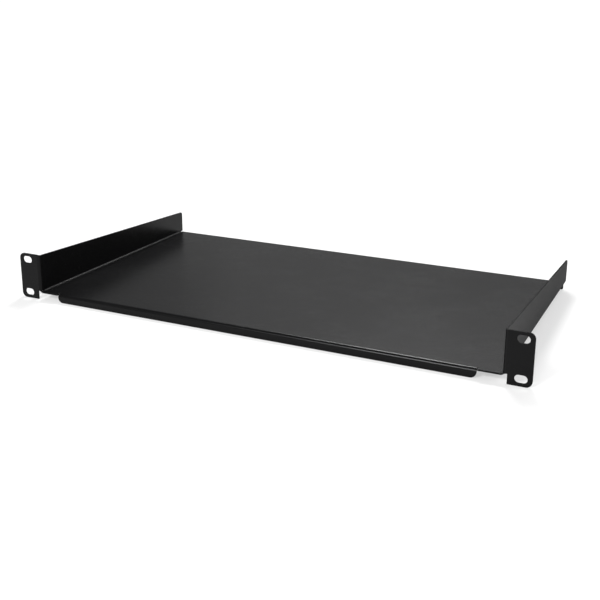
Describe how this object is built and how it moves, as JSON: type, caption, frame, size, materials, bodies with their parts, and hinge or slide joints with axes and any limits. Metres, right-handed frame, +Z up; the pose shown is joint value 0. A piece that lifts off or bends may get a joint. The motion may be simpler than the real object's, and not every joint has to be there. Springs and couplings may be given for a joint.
{
  "type": "cantilever rack shelf",
  "caption": "Shallow one-unit shelf folded from one steel sheet: flat pan, two tapering side walls, front and rear lips, and slotted ears that bolt to a 19-inch rack's front rail.",
  "frame": {"origin": "centre of the four screw slots, on the plane of the ears' rear faces, where they meet the rack rail", "axes": "+X across the rack, to the right as seen from its front; +Y into the rack; +Z up"},
  "size_m": [0.4826, 0.25, 0.0436],
  "materials": {
    "powder_coat": "black powder coat, matt, with a fine grain"
  },
  "bodies": {
    "root": {"folded_shelf": "powder_coat"}
  },
  "joints": []
}
